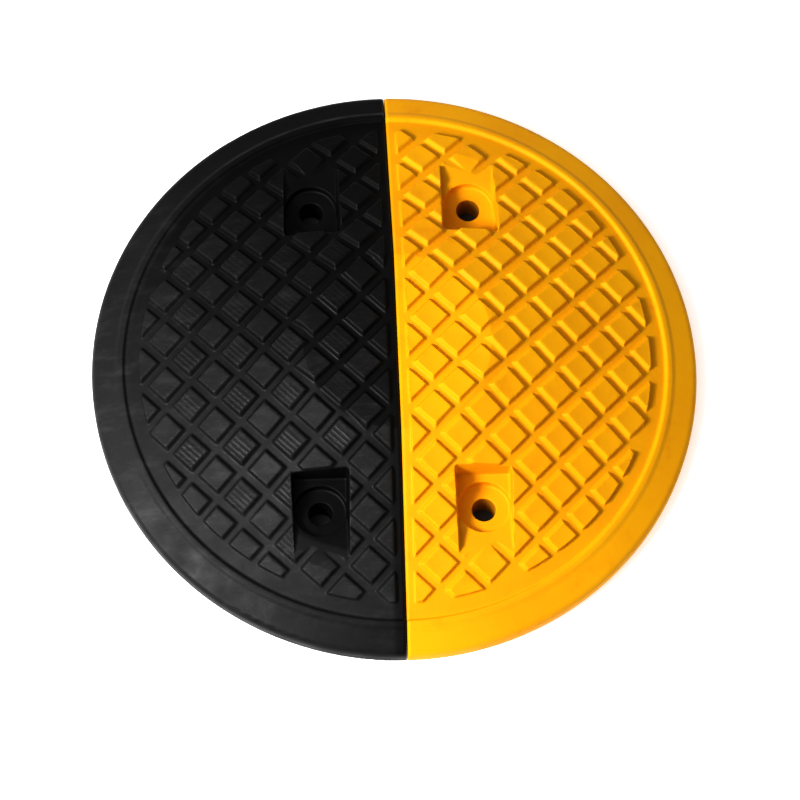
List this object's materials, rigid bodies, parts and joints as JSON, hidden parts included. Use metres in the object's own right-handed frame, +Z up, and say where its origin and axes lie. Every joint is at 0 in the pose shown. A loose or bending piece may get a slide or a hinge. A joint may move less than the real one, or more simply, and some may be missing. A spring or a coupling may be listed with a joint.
{
  "type": "rubber speed bump",
  "caption": "Round rubber speed bump of two half-round end caps, black and yellow, with square anti-slip studs, a plain rim and open anchor pockets with through holes.",
  "frame": {"origin": "centre of the disc on the road, midway between the two joint faces", "axes": "+X from the black cap to the yellow cap, square to the joint; +Y along the joint; +Z up from the road"},
  "size_m": [0.35, 0.35, 0.0505],
  "materials": {
    "black_rubber": "matte moulded black rubber, greyed on its studs and rim",
    "yellow_rubber": "satin warm yellow rubber with soft moulded edges"
  },
  "bodies": {
    "black_half": {"black_end_cap": "black_rubber"},
    "yellow_half": {"yellow_end_cap": "yellow_rubber"}
  },
  "joints": [
    {"name": "end_caps_slide", "type": "slide", "parent": "black_half", "child": "yellow_half", "axis": [1, 0, 0], "range_m": [0, 0.03]}
  ]
}
